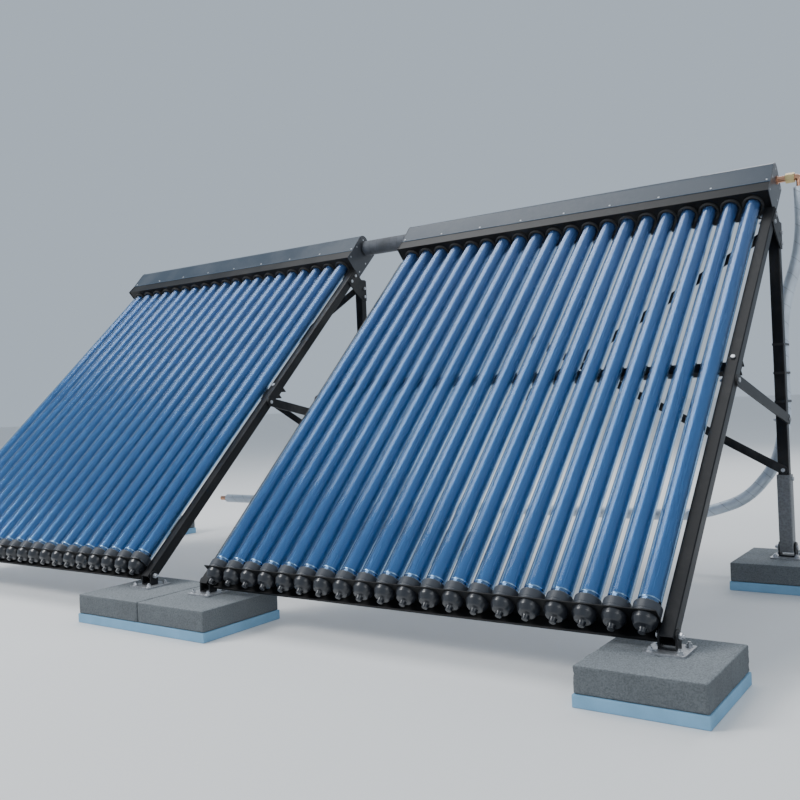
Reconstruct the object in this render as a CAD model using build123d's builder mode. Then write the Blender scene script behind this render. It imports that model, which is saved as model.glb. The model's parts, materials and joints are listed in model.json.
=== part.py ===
"""Solar water heater: two linked evacuated-tube collectors on a tilting stand.

The object stands on z = 0 with x to the right along the collectors and y to the rear.
Places on a collector are given as (x, s, n): x along the row of tubes, s up the slope
from the rim of the tubes' end cups, and n outwards from the plane of the tube axes.
"""
import os
from math import cos, radians, sin

from build123d import *

os.makedirs("parts", exist_ok=True)

# ---- driving dimensions, in millimetres -------------------------------------------------
tilt = 43.3                 # slope of the tubes at rest, degrees
tube_count = 20             # tubes in each collector
tube_pitch = 75.0
pair_gap = 395.0            # between the nearest tube axes of the two collectors
rim_height = 190.0          # tube axis at the rim of its end cup, above the ground

glass_radius = 29.0         # standard 58 mm x 1800 mm evacuated tube
glass_wall = 1.6
glass_length = 1800.0
glass_bottom = -50.0        # s of the round end
absorber_radius = 23.5
pipe_radius = 4.0           # heat pipe
condenser_radius = 7.0

rail_size = 36.0            # square tube of the side rails and the rear legs
rail_wall = 2.5
rail_offset = 52.0          # rail centre beyond the end tube
rail_start, rail_end = -68.0, 1650.0
rail_face = -14.0           # n of the rails' upper face
pivot_s = -52.0             # front foot bolt, on the rail's centre line

leg_depth = 1285.0          # front pivot to rear leg line
leg_top, leg_bottom = 1268.0, 150.0
sleeve_size, sleeve_wall = 46.0, 4.5
sleeve_top, sleeve_bottom = 385.0, 116.0

paver_x, paver_y, paver_height = 300.0, 330.0, 65.0
paver_joint = 2.0
foam_height, foam_margin = 30.0, 3.0
end_paver_shift = 6.0       # end pavers stand this far in from the rail
middle_paver_shift = 30.0   # joint of the middle pavers, to the right of the centre
paver_lead = 34.0           # front pavers reach further forward than their feet
plate_size, plate_thick = 100.0, 5.0
anchor_reach = 35.0         # anchor bolts from the foot's centre, along x and y

casing_start = 1660.0       # manifold's lower face, along s
casing_back, casing_front = -65.0, 50.0     # manifold, along n
casing_overlap = 60.0       # manifold end beyond the end tube
sheet = 1.5                 # manifold sheet metal
header_s = 1793.0
header_radius, port_radius = 19.0, 11.0
port_reach = 45.0           # port pipes beyond the end plates
collar, collar_radius = 5.0, 15.0           # stop collar at the root of each bare pipe end

bolt_radius = 4.0           # frame bolts
pivot_radius = 5.0          # foot bolts
hose_radius = 21.0          # lagged return pipe

# ---- places worked out from them --------------------------------------------------------
row_length = (tube_count - 1) * tube_pitch
collectors = (("left", -(row_length + pair_gap) / 2), ("right", (row_length + pair_gap) / 2))
half_rail = row_length / 2 + rail_offset
half_casing = row_length / 2 + casing_overlap
tube_places = [(i - (tube_count - 1) / 2) * tube_pitch for i in range(tube_count)]
rail_places = [middle + end * half_rail for side, middle in collectors for end in (-1, 1)]
outer_sides = [-1, 1, -1, 1]        # which way each rail's outer face looks

up_slope = Vector(0, cos(radians(tilt)), sin(radians(tilt)))
outward = Vector(0, -sin(radians(tilt)), cos(radians(tilt)))
rail_back = rail_face - rail_size
rail_middle_n = rail_face - rail_size / 2
front_foot_y = -(leg_depth + paver_lead) / 2 + paver_lead
rear_foot_y = front_foot_y + leg_depth
front_paver_y = front_foot_y - paver_lead
to_pivot = up_slope * pivot_s + outward * rail_middle_n
rim = Vector(0, front_foot_y - to_pivot.Y, rim_height)
pivot_z = rim_height + to_pivot.Z
paver_top = foam_height + paver_height
plate_top = paver_top + plate_thick
glass_top = glass_bottom + glass_length


def place(x, s, n):
    """Point of the object at (x, s, n)."""
    return rim + Vector(x, 0, 0) + up_slope * s + outward * n


def slope_plane(x=0.0, s=0.0, n=0.0):
    """Plane lying in the slope: x to the right, y up the slope."""
    return Plane(origin=place(x, s, n), x_dir=(1, 0, 0), z_dir=outward)


def tube_plane(x=0.0, s=0.0, n=0.0):
    """Plane square to the tubes."""
    return Plane(origin=place(x, s, n), x_dir=(1, 0, 0), z_dir=up_slope)


def side_plane(x=0.0):
    """Plane square to x, with s and n as its own x and y."""
    return Plane(origin=place(x, 0, 0), x_dir=up_slope, z_dir=(1, 0, 0))


def upright_plane(x=0.0):
    """Plane square to x, with y and z as its own x and y."""
    return Plane(origin=(x, 0, 0), x_dir=(0, 1, 0), z_dir=(1, 0, 0))


def keep(piece, label):
    """Name a finished piece and write its STEP file."""
    piece.part.label = label
    export_step(piece.part, f"parts/{label}.step")


def turned(points, arcs=()):
    """Solid of revolution about a tube axis at x = 0, from (radius, s) points.

    Each arc is (index, middle point): the side that starts at that point is an arc.
    """
    bends = dict(arcs)
    with BuildPart() as solid:
        with BuildSketch(slope_plane()):
            with BuildLine():
                for i, start in enumerate(points):
                    end = points[(i + 1) % len(points)]
                    if i in bends:
                        ThreePointArc(start, bends[i], end)
                    else:
                        Line(start, end)
            make_face()
        revolve(axis=Axis(place(0, 0, 0), up_slope))
    return solid.part


def through_bolt(seat, grip, radius=bolt_radius):
    """Hexagon bolt: its head stands on the seat plane and its nut is a grip below."""
    head, head_height, nut_height = radius * 1.8, radius * 1.3, radius * 1.6
    with BuildPart() as bolt:
        with BuildSketch(seat):
            RegularPolygon(radius=head, side_count=6)
        extrude(amount=head_height)
        with BuildSketch(seat.offset(-grip)):
            RegularPolygon(radius=head, side_count=6)
        extrude(amount=-nut_height)
        with BuildSketch(seat.offset(-grip - nut_height - radius)):
            Circle(radius)
        extrude(amount=grip + nut_height + radius)
    return bolt.part


def along_row(solid, middle):
    """Places of a row piece, one for each tube of the collector round middle."""
    return [Pos(middle + x, 0, 0) * solid for x in tube_places]


# ---- evacuated tubes --------------------------------------------------------------------
bowl_s = glass_bottom + glass_radius        # centre of the outer glass's round end
inner_radius = glass_radius - glass_wall
tip_radius, tip_length = 4.0, 8.0
half = sin(radians(45))
glass = turned(
    [(0, glass_bottom + glass_wall), (inner_radius, bowl_s), (inner_radius, glass_top),
     (glass_radius, glass_top), (glass_radius, bowl_s), (0, glass_bottom)],
    [(0, (inner_radius * half, bowl_s - inner_radius * half)),
     (4, (glass_radius * half, bowl_s - glass_radius * half))])
with BuildPart() as glass_tube:
    add(glass)
    with BuildSketch(tube_plane(0, glass_bottom + glass_wall / 2)):
        Circle(tip_radius)
    extrude(amount=-tip_length - glass_wall / 2, taper=20)

absorber_bore = absorber_radius - glass_wall
cup_s = -8.0                                # centre of the absorber's round end
fused_ring = 2.5
absorber = turned(
    [(0, cup_s - absorber_bore), (absorber_bore, cup_s), (absorber_bore, glass_top),
     (inner_radius, glass_top), (inner_radius, glass_top - fused_ring),
     (absorber_radius, glass_top - fused_ring), (absorber_radius, cup_s),
     (0, cup_s - absorber_radius)],
    [(0, (absorber_bore * half, cup_s - absorber_bore * half)),
     (6, (absorber_radius * half, cup_s - absorber_radius * half))])

clip_low, clip_high = 23.9, 26.3            # getter clip: a flared spring band
getter_clip = turned([(clip_low, -2), (clip_low + 0.8, -2), (clip_high + 0.8, 14), (clip_high, 14)])

condenser_start, condenser_end = 1768.0, 1820.0
heat_pipe = turned(
    [(0, 25), (pipe_radius, 30), (pipe_radius, condenser_start - 6),
     (condenser_radius, condenser_start), (condenser_radius, condenser_end),
     (pipe_radius, condenser_end + 2), (0, condenser_end + 2)])

plug = turned(
    [(pipe_radius + 0.2, 1712), (absorber_bore - 0.3, 1712), (absorber_bore - 0.3, 1744),
     (pipe_radius + 0.2, 1744)])

fin_radius, fin_thick = 21.5, 0.6
with BuildPart() as fin:
    with BuildSketch(tube_plane(0, 60)):
        Circle(fin_radius)
        Circle(fin_radius - fin_thick, mode=Mode.SUBTRACT)
        with Locations((0, fin_radius)):
            Rectangle(8, 8, mode=Mode.SUBTRACT)
        Rectangle(2 * fin_radius - fin_thick, fin_thick)
        Circle(pipe_radius + 0.2 + fin_thick)
        Circle(pipe_radius + 0.2, mode=Mode.SUBTRACT)
    extrude(amount=1640)

cup_radius = 30.8
cup_bore = 29.4
end_cup = turned(
    [(0, -60), (6, -60), (6, bowl_s - 28.8), (cup_bore, bowl_s), (cup_bore, -10),
     (cup_radius, -10), (cup_radius, -44), (24, -54), (20, -60), (10, -63), (9, -72),
     (6, -75), (0, -75)],
    [(2, (cup_bore * half, bowl_s - cup_bore * half))])

ring_radius, ring_bottom = 35.0, -30.5
cup_ring = turned(
    [(cup_radius + 0.4, ring_bottom), (ring_radius - 1, ring_bottom), (ring_radius, ring_bottom + 1),
     (ring_radius, -27), (ring_radius - 1, -25), (ring_radius, -23), (ring_radius, -1.5),
     (ring_radius - 1.5, 0), (cup_bore + 0.2, 0), (cup_bore + 0.2, -9.5),
     (cup_radius + 0.4, -9.5)])

seal_hole = 33.5
seal = turned(
    [(cup_bore, 1651), (35, 1651), (36, 1653), (36, casing_start), (seal_hole, casing_start),
     (seal_hole, casing_start + 8), (cup_bore, casing_start + 8)])

row_pieces = (("outer_glass", glass_tube.part), ("absorber_tubes", absorber),
              ("getter_clips", getter_clip), ("heat_pipes", heat_pipe), ("tube_plugs", plug),
              ("heat_fins", fin.part), ("end_cups", end_cup), ("cup_rings", cup_ring),
              ("tube_seals", seal))
for side, middle in collectors:
    for name, solid in row_pieces:
        with BuildPart() as row:
            add(along_row(solid, middle))
        keep(row, f"{name}_{side}")

# ---- manifold ---------------------------------------------------------------------------
end_margin = 2.5                            # end plates stand proud of the sheet metal
hood_lip = (1712.0, casing_front)           # lower front edge of the hood, as (s, n)
hood_brow = (1800.0, 57.0)
hood_crown = (1836.0, 18.0)
hood_back = (1830.0, casing_back)
hood_heel = (1795.0, casing_back)

for side, middle in collectors:
    with BuildPart() as manifold_casing:
        with BuildSketch(side_plane(middle - half_casing + 2)):
            with BuildLine():
                Polyline((1790, casing_front), (casing_start, casing_front),
                         (casing_start, casing_back), (1824, casing_back))
                offset(amount=sheet, side=Side.LEFT)
            make_face()
        extrude(amount=2 * half_casing - 4)
        with BuildSketch(tube_plane(middle, casing_start - 1)):
            with Locations(*[(x, 0) for x in tube_places]):
                Circle(seal_hole)
        extrude(amount=sheet + 4, mode=Mode.SUBTRACT)
    keep(manifold_casing, f"manifold_casing_{side}")

    with BuildPart() as manifold_hood:
        with BuildSketch(side_plane(middle - half_casing + 2)):
            with BuildLine():
                front = Line(hood_lip, hood_brow)
                TangentArc(hood_brow, hood_crown, tangent=front % 1)
                Polyline(hood_crown, hood_back, hood_heel)
                offset(amount=sheet, side=Side.LEFT)
            make_face()
        extrude(amount=2 * half_casing - 4)
    keep(manifold_hood, f"manifold_hood_{side}")

    with BuildPart() as manifold_end_plates:
        for end in (-1, 1):
            with BuildSketch(side_plane(middle + end * half_casing - (2 if end > 0 else 0))):
                with BuildLine():
                    front = Line(hood_lip, hood_brow)
                    TangentArc(hood_brow, hood_crown, tangent=front % 1)
                    Polyline(hood_crown, hood_back, (casing_start, casing_back),
                             (casing_start, casing_front), hood_lip)
                make_face()
                offset(amount=end_margin)
                with Locations((header_s, 0)):
                    Circle(port_radius + 1, mode=Mode.SUBTRACT)
            extrude(amount=2)
    keep(manifold_end_plates, f"manifold_end_plates_{side}")

    with BuildPart() as header_pipe:
        with BuildSketch(side_plane(middle - half_casing + 27)):
            with Locations((header_s, 0)):
                Circle(header_radius)
        extrude(amount=2 * half_casing - 54)
        with BuildSketch(side_plane(middle - half_casing - port_reach)):
            with Locations((header_s, 0)):
                Circle(port_radius)
        extrude(amount=2 * (half_casing + port_reach))
        for end in (-1, 1):
            face = middle + end * half_casing
            with BuildSketch(side_plane(face if end > 0 else face - collar)):
                with Locations((header_s, 0)):
                    Circle(collar_radius)
            extrude(amount=collar)
        with BuildSketch(side_plane(middle - half_casing + 29)):
            with Locations((header_s, 0)):
                Circle(header_radius - 1.5)
        extrude(amount=2 * half_casing - 58, mode=Mode.SUBTRACT)
        with BuildSketch(side_plane(middle - half_casing - port_reach)):
            with Locations((header_s, 0)):
                Circle(port_radius - 1)
        extrude(amount=2 * (half_casing + port_reach), mode=Mode.SUBTRACT)
        with BuildSketch(tube_plane(middle, condenser_start - 2)):
            with Locations(*[(x, 0) for x in tube_places]):
                Circle(condenser_radius + 1.4)
        extrude(amount=condenser_end - condenser_start + 7)
        with BuildSketch(tube_plane(middle, condenser_start - 2)):
            with Locations(*[(x, 0) for x in tube_places]):
                Circle(condenser_radius + 0.3)
        extrude(amount=condenser_end - condenser_start + 5, mode=Mode.SUBTRACT)
    keep(header_pipe, f"header_pipe_{side}")

    with BuildPart() as manifold_insulation:
        with BuildSketch(side_plane(middle - half_casing + 4)):
            with Locations(((1670 + 1800) / 2, (casing_back + casing_front) / 2)):
                Rectangle(130, casing_front - casing_back - 6)
            with Locations(((1758 + 1801) / 2, 0)):
                Rectangle(43, 2 * header_radius + 4, mode=Mode.SUBTRACT)
        extrude(amount=2 * half_casing - 8)
        with BuildSketch(tube_plane(middle, 1665)):
            with Locations(*[(x, 0) for x in tube_places]):
                Circle(seal_hole)
        extrude(amount=100, mode=Mode.SUBTRACT)
    keep(manifold_insulation, f"manifold_insulation_{side}")

# ---- collector frame --------------------------------------------------------------------
gusset_s = (1585.0, 1625.0)                 # bolts of the gussets in the rail
gusset_z = (1190.0, 1228.0)                 # and in the leg
strut_s, strut_z = 803.0, 577.0
brace_top, brace_foot = 1252.0, 402.0
hanger_z = 465.0                            # bar across the two middle legs
strut_thick, gusset_thick, brace_thick = 6.0, 4.0, 4.0
crossbar_s = 883.0


def in_upright(s, n):
    """(y, z) of a place on the slope."""
    spot = place(0, s, n)
    return (spot.Y, spot.Z)


rail_bolts = [in_upright(s, rail_middle_n) for s in (*gusset_s, strut_s)]
leg_bolts = [(rear_foot_y, z) for z in (*gusset_z, strut_z)]
leg_front, leg_rear = rear_foot_y - rail_size / 2 + 2, rear_foot_y + rail_size / 2 - 2
leg_bar = ((leg_front, leg_top - 4), (leg_rear, leg_top - 4), (leg_rear, 1172), (leg_front, 1172))

for side, middle in collectors:
    with BuildPart() as side_rails:
        for end in (-1, 1):
            x = middle + end * half_rail
            with BuildSketch(tube_plane(x, rail_start, rail_middle_n)):
                RectangleRounded(rail_size, rail_size, 3)
                Rectangle(rail_size - 2 * rail_wall, rail_size - 2 * rail_wall, mode=Mode.SUBTRACT)
            extrude(amount=rail_end - rail_start)
            with BuildSketch(upright_plane(x - rail_size)):
                with Locations(*rail_bolts):
                    Circle(bolt_radius)
            extrude(amount=2 * rail_size, mode=Mode.SUBTRACT)
            with BuildSketch(upright_plane(x - rail_size)):
                with Locations((front_foot_y, pivot_z)):
                    Circle(pivot_radius + 0.06)
            extrude(amount=2 * rail_size, mode=Mode.SUBTRACT)
            with BuildSketch(slope_plane(x, crossbar_s, rail_back - 1)):
                Circle(bolt_radius)
            extrude(amount=rail_size + 2, mode=Mode.SUBTRACT)
    keep(side_rails, f"side_rails_{side}")

    with BuildPart() as rear_legs:
        for end in (-1, 1):
            x = middle + end * half_rail
            with BuildSketch(Plane.XY.offset(leg_bottom)):
                with Locations((x, rear_foot_y)):
                    RectangleRounded(rail_size, rail_size, 3)
                    Rectangle(rail_size - 2 * rail_wall, rail_size - 2 * rail_wall, mode=Mode.SUBTRACT)
            extrude(amount=leg_top - leg_bottom)
            with BuildSketch(upright_plane(x - rail_size)):
                with Locations(*leg_bolts):
                    Circle(bolt_radius)
            extrude(amount=2 * rail_size, mode=Mode.SUBTRACT)
            with BuildSketch(Plane.XZ.offset(-rear_foot_y - rail_size)):
                with Locations((x, brace_top), (x, brace_foot)):
                    Circle(bolt_radius)
                if x in rail_places[1:3]:
                    with Locations((x, hanger_z)):
                        Circle(bolt_radius)
            extrude(amount=2 * rail_size, mode=Mode.SUBTRACT)
    keep(rear_legs, f"rear_legs_{side}")

    with BuildPart() as cross_braces:
        front_face, back_face = rear_foot_y - rail_size / 2, rear_foot_y + rail_size / 2
        for end, face_y in ((1, back_face + brace_thick), (-1, front_face)):
            high = Vector(middle + end * half_rail, brace_top)
            low = Vector(middle - end * half_rail, brace_foot)
            lean = (high - low).get_signed_angle(Vector(1, 0, 0), Vector(0, 0, -1))
            with BuildSketch(Plane.XZ.offset(-face_y)):
                with Locations(Pos((high + low) * 0.5) * Rot(0, 0, lean)):
                    SlotCenterToCenter((high - low).length, 30)
                with Locations(high, low):
                    Circle(bolt_radius, mode=Mode.SUBTRACT)
            extrude(amount=brace_thick)
    keep(cross_braces, f"cross_braces_{side}")

    track_half = half_rail - rail_size / 2
    with BuildPart() as bottom_track:
        with BuildSketch(side_plane(middle - track_half)):
            with Locations((ring_bottom - 1.25, (-45 + 34) / 2)):
                Rectangle(2.5, 34 + 45)
        extrude(amount=2 * track_half)
        with BuildSketch(side_plane(middle - track_half + 8)):
            with Locations(((-66 + ring_bottom) / 2, -45 + 1.25)):
                Rectangle(66 + ring_bottom, 2.5)
            with Locations((-66 + 1.25, -40)):
                Rectangle(2.5, 10)
        extrude(amount=2 * track_half - 16)
        with BuildSketch(tube_plane(middle, ring_bottom - 4)):
            with Locations(*[(x, 0) for x in tube_places]):
                Circle(cup_radius + 0.4)
        extrude(amount=6, mode=Mode.SUBTRACT)
    keep(bottom_track, f"bottom_track_{side}")

with BuildPart() as mid_crossbars:
    for side, middle in collectors:
        with BuildSketch(side_plane(middle - half_rail - rail_size / 2)):
            with Locations((crossbar_s, rail_back - 10)):
                Rectangle(40, 20)
                with Locations((0, -1.25)):
                    Rectangle(35, 17.5, mode=Mode.SUBTRACT)
        extrude(amount=2 * half_rail + rail_size)
        with BuildSketch(slope_plane(middle, crossbar_s, rail_back - 30)):
            with Locations((-half_rail, 0), (half_rail, 0)):
                Circle(bolt_radius)
        extrude(amount=40, mode=Mode.SUBTRACT)
keep(mid_crossbars, "mid_crossbars")

with BuildPart() as side_struts:
    for x, outer in zip(rail_places, outer_sides):
        low, high = Vector(*leg_bolts[2]), Vector(*rail_bolts[2])
        lean = (high - low).get_signed_angle(Vector(1, 0, 0), Vector(0, 0, -1))
        face = x + rail_size / 2 if outer > 0 else x - rail_size / 2 - strut_thick
        with BuildSketch(upright_plane(face)):
            with Locations(Pos((high + low) * 0.5) * Rot(0, 0, lean)):
                SlotCenterToCenter((high - low).length, 34)
            with Locations(high, low):
                Circle(bolt_radius, mode=Mode.SUBTRACT)
        extrude(amount=strut_thick)
keep(side_struts, "side_struts")

with BuildPart() as leg_gussets:
    for x, outer in zip(rail_places, outer_sides):
        face = x + rail_size / 2 if outer > 0 else x - rail_size / 2 - gusset_thick
        with BuildSketch(upright_plane(face)):
            with BuildLine():
                Polyline(in_upright(1566, rail_back + 4), in_upright(1566, rail_face - 4),
                         in_upright(1644, rail_face - 4), *leg_bar, close=True)
            make_face()
            with Locations(*rail_bolts[:2], *leg_bolts[:2]):
                Circle(bolt_radius, mode=Mode.SUBTRACT)
        extrude(amount=gusset_thick)
keep(leg_gussets, "leg_gussets")

with BuildPart() as manifold_brackets:
    for side, middle in collectors:
        for end in (-1, 1):
            near = middle + end * (half_rail - 6) - 11
            with BuildSketch(side_plane(near)):
                with BuildLine():
                    Polyline((1575, rail_back), (1634, rail_back), (1654, casing_back),
                             (1785, casing_back))
                    offset(amount=3, side=Side.RIGHT)
                make_face()
            extrude(amount=22)
keep(manifold_brackets, "manifold_brackets")

bolts = []
for x, outer in zip(rail_places, outer_sides):
    for points, thick in ((rail_bolts[:2] + leg_bolts[:2], gusset_thick),
                          (rail_bolts[2:] + leg_bolts[2:], strut_thick)):
        for y, z in points:
            seat = Plane(origin=(x + outer * (rail_size / 2 + thick), y, z), z_dir=(outer, 0, 0))
            bolts.append(through_bolt(seat, rail_size + thick))
    seat = slope_plane(x, crossbar_s, rail_face)
    bolts.append(through_bolt(seat, rail_size + 2.5, bolt_radius))
for side, middle in collectors:
    for end in (-1, 1):
        for z in (brace_top, brace_foot):
            x = middle + end * half_rail
            behind = (end > 0) == (z == brace_top)
            near = rear_foot_y + (rail_size / 2 + brace_thick if behind else -rail_size / 2 - brace_thick)
            seat = Plane(origin=(x, near, z), z_dir=(0, 1 if behind else -1, 0))
            bolts.append(through_bolt(seat, rail_size + brace_thick))
for x in rail_places[1:3]:
    seat = Plane(origin=(x, rear_foot_y + rail_size / 2 + 4, hanger_z), z_dir=(0, 1, 0))
    bolts.append(through_bolt(seat, rail_size + 4))
with BuildPart() as frame_bolts:
    add(bolts)
keep(frame_bolts, "frame_bolts")

# ---- feet -------------------------------------------------------------------------------
sleeve_bore = sleeve_size - 2 * sleeve_wall
with BuildPart() as leg_sleeves:
    for x in rail_places:
        with BuildSketch(Plane.XY.offset(sleeve_bottom)):
            with Locations((x, rear_foot_y)):
                RectangleRounded(sleeve_size, sleeve_size, 4)
                Rectangle(sleeve_bore, sleeve_bore, mode=Mode.SUBTRACT)
        extrude(amount=sleeve_top - sleeve_bottom)
        with BuildSketch(upright_plane(x - sleeve_size)):
            with Locations((rear_foot_y, pivot_z)):
                Circle(pivot_radius)
        extrude(amount=2 * sleeve_size, mode=Mode.SUBTRACT)
    for x, outer in zip(rail_places, outer_sides):
        with BuildSketch(Plane(origin=(x, rear_foot_y, sleeve_top - 15), z_dir=(outer, 0, 0))):
            Circle(bolt_radius)
        extrude(amount=sleeve_size, mode=Mode.SUBTRACT)
keep(leg_sleeves, "leg_sleeves")

screws = []
for x, outer in zip(rail_places, outer_sides):
    seat = Plane(origin=(x + outer * sleeve_size / 2, rear_foot_y, sleeve_top - 15), z_dir=(outer, 0, 0))
    with BuildPart() as screw:
        with BuildSketch(seat):
            RegularPolygon(radius=bolt_radius * 1.8, side_count=6)
        extrude(amount=7)
        with BuildSketch(seat):
            Circle(bolt_radius)
        extrude(amount=-sleeve_wall)
    screws.append(screw.part)
with BuildPart() as sleeve_screws:
    add(screws)
keep(sleeve_screws, "sleeve_screws")

clevis_wall, clevis_base, clevis_gap = 5.0, 4.0, 0.5
slot_travel = 8.0           # the rear foot bolt's way along its slot


def clevis(x, y, width, ear, slot):
    """U bracket on a foot plate, with its bolt hole drawn out to a slot towards +y."""
    outer_width = width + 2 * clevis_wall
    with BuildPart() as bracket:
        with BuildSketch(upright_plane(x - outer_width / 2)):
            with BuildLine():
                Polyline((y - ear, pivot_z), (y - ear, plate_top), (y + ear + slot, plate_top),
                         (y + ear + slot, pivot_z))
                RadiusArc((y + ear + slot, pivot_z), (y + slot, pivot_z + ear), -ear)
                if slot:
                    Line((y + slot, pivot_z + ear), (y, pivot_z + ear))
                RadiusArc((y, pivot_z + ear), (y - ear, pivot_z), -ear)
            make_face()
        extrude(amount=outer_width)
        with BuildSketch(upright_plane(x - width / 2)):
            with Locations((y + slot / 2, plate_top + clevis_base + 50)):
                Rectangle(4 * ear, 100)
        extrude(amount=width, mode=Mode.SUBTRACT)
        with BuildSketch(upright_plane(x - outer_width / 2)):
            with Locations((y + slot / 2, pivot_z)):
                if slot:
                    SlotCenterToCenter(slot, 2 * pivot_radius + 1.2)
                else:
                    Circle(pivot_radius)
        extrude(amount=outer_width, mode=Mode.SUBTRACT)
    return bracket.part


front_parts = [clevis(x, front_foot_y, rail_size + 2 * clevis_gap, 16, 0) for x in rail_places]
rear_parts = [clevis(x, rear_foot_y, sleeve_size + 2 * clevis_gap, 18, slot_travel)
              for x in rail_places]
with BuildPart() as front_clevises:
    add(front_parts)
keep(front_clevises, "front_clevises")
with BuildPart() as rear_clevises:
    add(rear_parts)
keep(rear_clevises, "rear_clevises")

for name, y, width in (("front", front_foot_y, rail_size), ("rear", rear_foot_y, sleeve_size)):
    grip = width + 2 * clevis_gap + 2 * clevis_wall
    pins = []
    for x, outer in zip(rail_places, outer_sides):
        head_side = -outer if name == "front" else outer    # thin heads beside the end cups
        seat = Plane(origin=(x + head_side * grip / 2, y, pivot_z), z_dir=(head_side, 0, 0))
        pins.append(through_bolt(seat, grip, pivot_radius))
    with BuildPart() as pivot_bolts:
        add(pins)
    keep(pivot_bolts, f"{name}_pivot_bolts")

feet = [(x, y) for y in (front_foot_y, rear_foot_y) for x in rail_places]
anchors = [(x + dx, y + dy) for x, y in feet
           for dx in (-anchor_reach, anchor_reach) for dy in (-anchor_reach, anchor_reach)]
anchor_depth = 50.0
with BuildPart() as foot_plates:
    with BuildSketch(Plane.XY.offset(paver_top)):
        with Locations(*feet):
            RectangleRounded(plate_size, plate_size, 6)
        with Locations(*anchors):
            Circle(bolt_radius, mode=Mode.SUBTRACT)
    extrude(amount=plate_thick)
keep(foot_plates, "foot_plates")

with BuildPart() as anchor_bolts:
    with BuildSketch(Plane.XY.offset(plate_top)):
        with Locations(*anchors):
            Circle(9)
    extrude(amount=1.6)
    with BuildSketch(Plane.XY.offset(plate_top + 1.6)):
        with Locations(*anchors):
            RegularPolygon(radius=bolt_radius * 1.8, side_count=6)
    extrude(amount=6)
    with BuildSketch(Plane.XY.offset(paver_top - anchor_depth)):
        with Locations(*anchors):
            Circle(bolt_radius)
    extrude(amount=anchor_depth + plate_thick + 12)
keep(anchor_bolts, "anchor_bolts")

end_paver_x = rail_places[3] - end_paver_shift
paver_step = (paver_x + paver_joint) / 2
paver_xs = (-end_paver_x, middle_paver_shift - paver_step, middle_paver_shift + paver_step, end_paver_x)
single, double = paver_x + 2 * foam_margin, 2 * paver_x + paver_joint + 2 * foam_margin
boards = ((-end_paver_x, single), (middle_paver_shift, double), (end_paver_x, single))
for name, y, foot_y in (("front", front_paver_y, front_foot_y), ("rear", rear_foot_y, rear_foot_y)):
    holes = [(ax, ay) for ax, ay in anchors if abs(ay - foot_y) < plate_size]
    with BuildPart() as pavers:
        with BuildSketch(Plane.XY.offset(foam_height)):
            with Locations(*[(x, y) for x in paver_xs]):
                Rectangle(paver_x, paver_y)
        extrude(amount=paver_height)
        chamfer(pavers.faces().sort_by(Axis.Z)[-4:].edges(), 2)
        with BuildSketch(Plane.XY.offset(paver_top - anchor_depth)):
            with Locations(*holes):
                Circle(bolt_radius)
        extrude(amount=anchor_depth, mode=Mode.SUBTRACT)
    keep(pavers, f"{name}_pavers")
    with BuildPart() as foam_boards:
        with BuildSketch(Plane.XY):
            for x, width in boards:
                with Locations((x, y)):
                    Rectangle(width, paver_y + 2 * foam_margin)
        extrude(amount=foam_height)
    keep(foam_boards, f"{name}_foam_boards")

# ---- pipework ---------------------------------------------------------------------------
port = place(0, header_s, 0)
inner_end = pair_gap / 2 - casing_overlap   # inner end plates, from the centre
outer_end = collectors[1][1] + half_casing
link_half = inner_end - port_reach
wall = 1.0


def port_plane(x):
    """Plane square to the ports' common axis."""
    return Plane(origin=(x, port.Y, port.Z), z_dir=(1, 0, 0))


with BuildPart() as link_pipe:
    with BuildSketch(port_plane(-link_half)):
        Circle(port_radius)
        Circle(port_radius - wall, mode=Mode.SUBTRACT)
    extrude(amount=2 * link_half)
keep(link_pipe, "link_pipe")

with BuildPart() as link_lagging:
    with BuildSketch(port_plane(-inner_end + 8)):
        Circle(34)
        Circle(19, mode=Mode.SUBTRACT)
    extrude(amount=2 * (inner_end - 8))
keep(link_lagging, "link_lagging")

with BuildPart() as port_unions:
    for x in (-link_half, link_half, outer_end + port_reach):
        with BuildSketch(port_plane(x - 15)):
            RegularPolygon(radius=18, side_count=6)
            Circle(port_radius, mode=Mode.SUBTRACT)
        extrude(amount=30)
keep(port_unions, "port_unions")

leg_x = rail_places[3]
drop_x = outer_end + port_reach + 30
hose_y = rear_foot_y + 70
elbow = [(outer_end + port_reach, port.Y, port.Z), (drop_x, port.Y, port.Z)]
hose_low = 218.0                            # height of the run behind the stand
lagging_end, outlet_x = -1150.0, -1195.0    # the bare pipe's end stands out of the lagging
run_x = leg_x - 4                           # the upright run behind the end leg
route = [(drop_x, port.Y, port.Z - 36), (drop_x, port.Y, 1180), (run_x, hose_y, 960),
         (run_x, hose_y, 560), (run_x - 34, hose_y, 415), (run_x - 142, hose_y, 285),
         (run_x - 332, hose_y, hose_low), (lagging_end, hose_y, hose_low)]
elbow_bend, bends = 14, [520, 600, 580, 280, 260, 550]

with BuildPart() as return_pipe:
    with BuildLine():
        path = FilletPolyline(*elbow, *route[1:], radius=[elbow_bend, *bends])
    with BuildSketch(Plane(origin=path @ 0, z_dir=path % 0)):
        Circle(port_radius)
        Circle(port_radius - wall, mode=Mode.SUBTRACT)
    sweep()
    for start, radius in ((outlet_x, port_radius), (lagging_end - collar, collar_radius)):
        with BuildSketch(Plane(origin=(start, hose_y, hose_low), z_dir=(1, 0, 0))):
            Circle(radius)
            Circle(port_radius - wall, mode=Mode.SUBTRACT)
        extrude(amount=lagging_end - start)
keep(return_pipe, "return_pipe")

with BuildPart() as return_lagging:
    with BuildLine():
        path = FilletPolyline(*route, radius=bends)
    with BuildSketch(Plane(origin=path @ 0, z_dir=path % 0)):
        Circle(hose_radius)
        Circle(port_radius + 0.3, mode=Mode.SUBTRACT)
    sweep()
keep(return_lagging, "return_lagging")
print("return line: lagged", round(path.length), "mm, bends", bends)

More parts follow.
